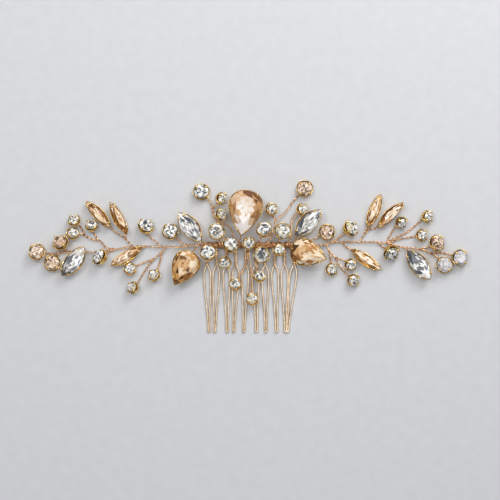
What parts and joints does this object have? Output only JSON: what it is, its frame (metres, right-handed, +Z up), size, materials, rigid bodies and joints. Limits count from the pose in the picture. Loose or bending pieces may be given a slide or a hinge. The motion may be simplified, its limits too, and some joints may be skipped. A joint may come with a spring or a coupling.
{
  "type": "decorative hair comb",
  "caption": "Bridal hair comb: bent-wire hairpin teeth carry a vine of claw-set crystals on twisted wire, with two wings that bend to follow the head.",
  "frame": {"origin": "centre of the comb's footprint on the plane that it lies on", "axes": "+Z up, the way the stones face; +X to the right along the wings; the comb's teeth point along -Y"},
  "size_m": [0.1851, 0.0643, 0.0097],
  "materials": {
    "comb_wire": "pale champagne-gold plated drawn wire, bright",
    "rose_wire": "rose-gold enamelled thin wire, twisted",
    "claw_gold": "yellow-gold plated pressed metal, polished",
    "clear_crystal": "cut and polished clear crystal, foiled back",
    "champagne_crystal": "cut and polished champagne crystal, foiled back",
    "opal_crystal": "cut milky white opal crystal"
  },
  "bodies": {
    "root": {"comb": "comb_wire", "binding_wire": "rose_wire", "centre_spray_frame": "claw_gold", "centre_pear": "champagne_crystal", "left_drop": "champagne_crystal", "right_drop": "champagne_crystal", "centre_navette_1": "clear_crystal", "centre_navette_2": "clear_crystal", "centre_round_1": "clear_crystal", "centre_round_2": "champagne_crystal", "centre_round_3": "clear_crystal", "centre_round_4": "champagne_crystal", "centre_round_5": "clear_crystal", "centre_round_6": "clear_crystal", "centre_round_7": "clear_crystal", "centre_round_8": "clear_crystal", "centre_round_9": "clear_crystal", "centre_round_10": "clear_crystal", "centre_small_1": "clear_crystal", "centre_small_2": "clear_crystal", "centre_small_3": "clear_crystal", "centre_small_4": "clear_crystal", "centre_small_5": "clear_crystal", "centre_small_6": "clear_crystal", "centre_small_7": "clear_crystal", "centre_small_8": "clear_crystal", "centre_small_9": "clear_crystal", "centre_small_10": "clear_crystal"},
    "left_wing": {"left_wing_frame": "claw_gold", "left_round_1": "champagne_crystal", "left_round_2": "champagne_crystal", "left_round_3": "champagne_crystal", "left_small_1": "clear_crystal", "left_small_2": "clear_crystal", "left_small_3": "clear_crystal", "left_slim_1": "champagne_crystal", "left_slim_2": "champagne_crystal", "left_round_4": "clear_crystal", "left_navette": "clear_crystal", "left_round_5": "clear_crystal", "left_slim_3": "champagne_crystal", "left_small_4": "clear_crystal", "left_small_5": "clear_crystal", "left_small_6": "clear_crystal"},
    "right_wing": {"right_wing_frame": "claw_gold", "right_round_1": "opal_crystal", "right_round_2": "opal_crystal", "right_round_3": "champagne_crystal", "right_small_1": "clear_crystal", "right_small_2": "clear_crystal", "right_small_3": "clear_crystal", "right_slim_1": "champagne_crystal", "right_slim_2": "champagne_crystal", "right_round_4": "clear_crystal", "right_navette": "clear_crystal", "right_round_5": "clear_crystal", "right_slim_3": "champagne_crystal", "right_small_4": "clear_crystal", "right_small_5": "clear_crystal", "right_small_6": "clear_crystal"}
  },
  "joints": [
    {"name": "left_wing_bend", "type": "hinge", "parent": "root", "child": "left_wing", "pos_m": [-0.0313, 0.0044, 0.00205], "axis": [0, -1, 0], "range_deg": [-10, 35]},
    {"name": "right_wing_bend", "type": "hinge", "parent": "root", "child": "right_wing", "pos_m": [0.0309, 0.0051, 0.00205], "axis": [0, 1, 0], "range_deg": [-10, 35]}
  ]
}
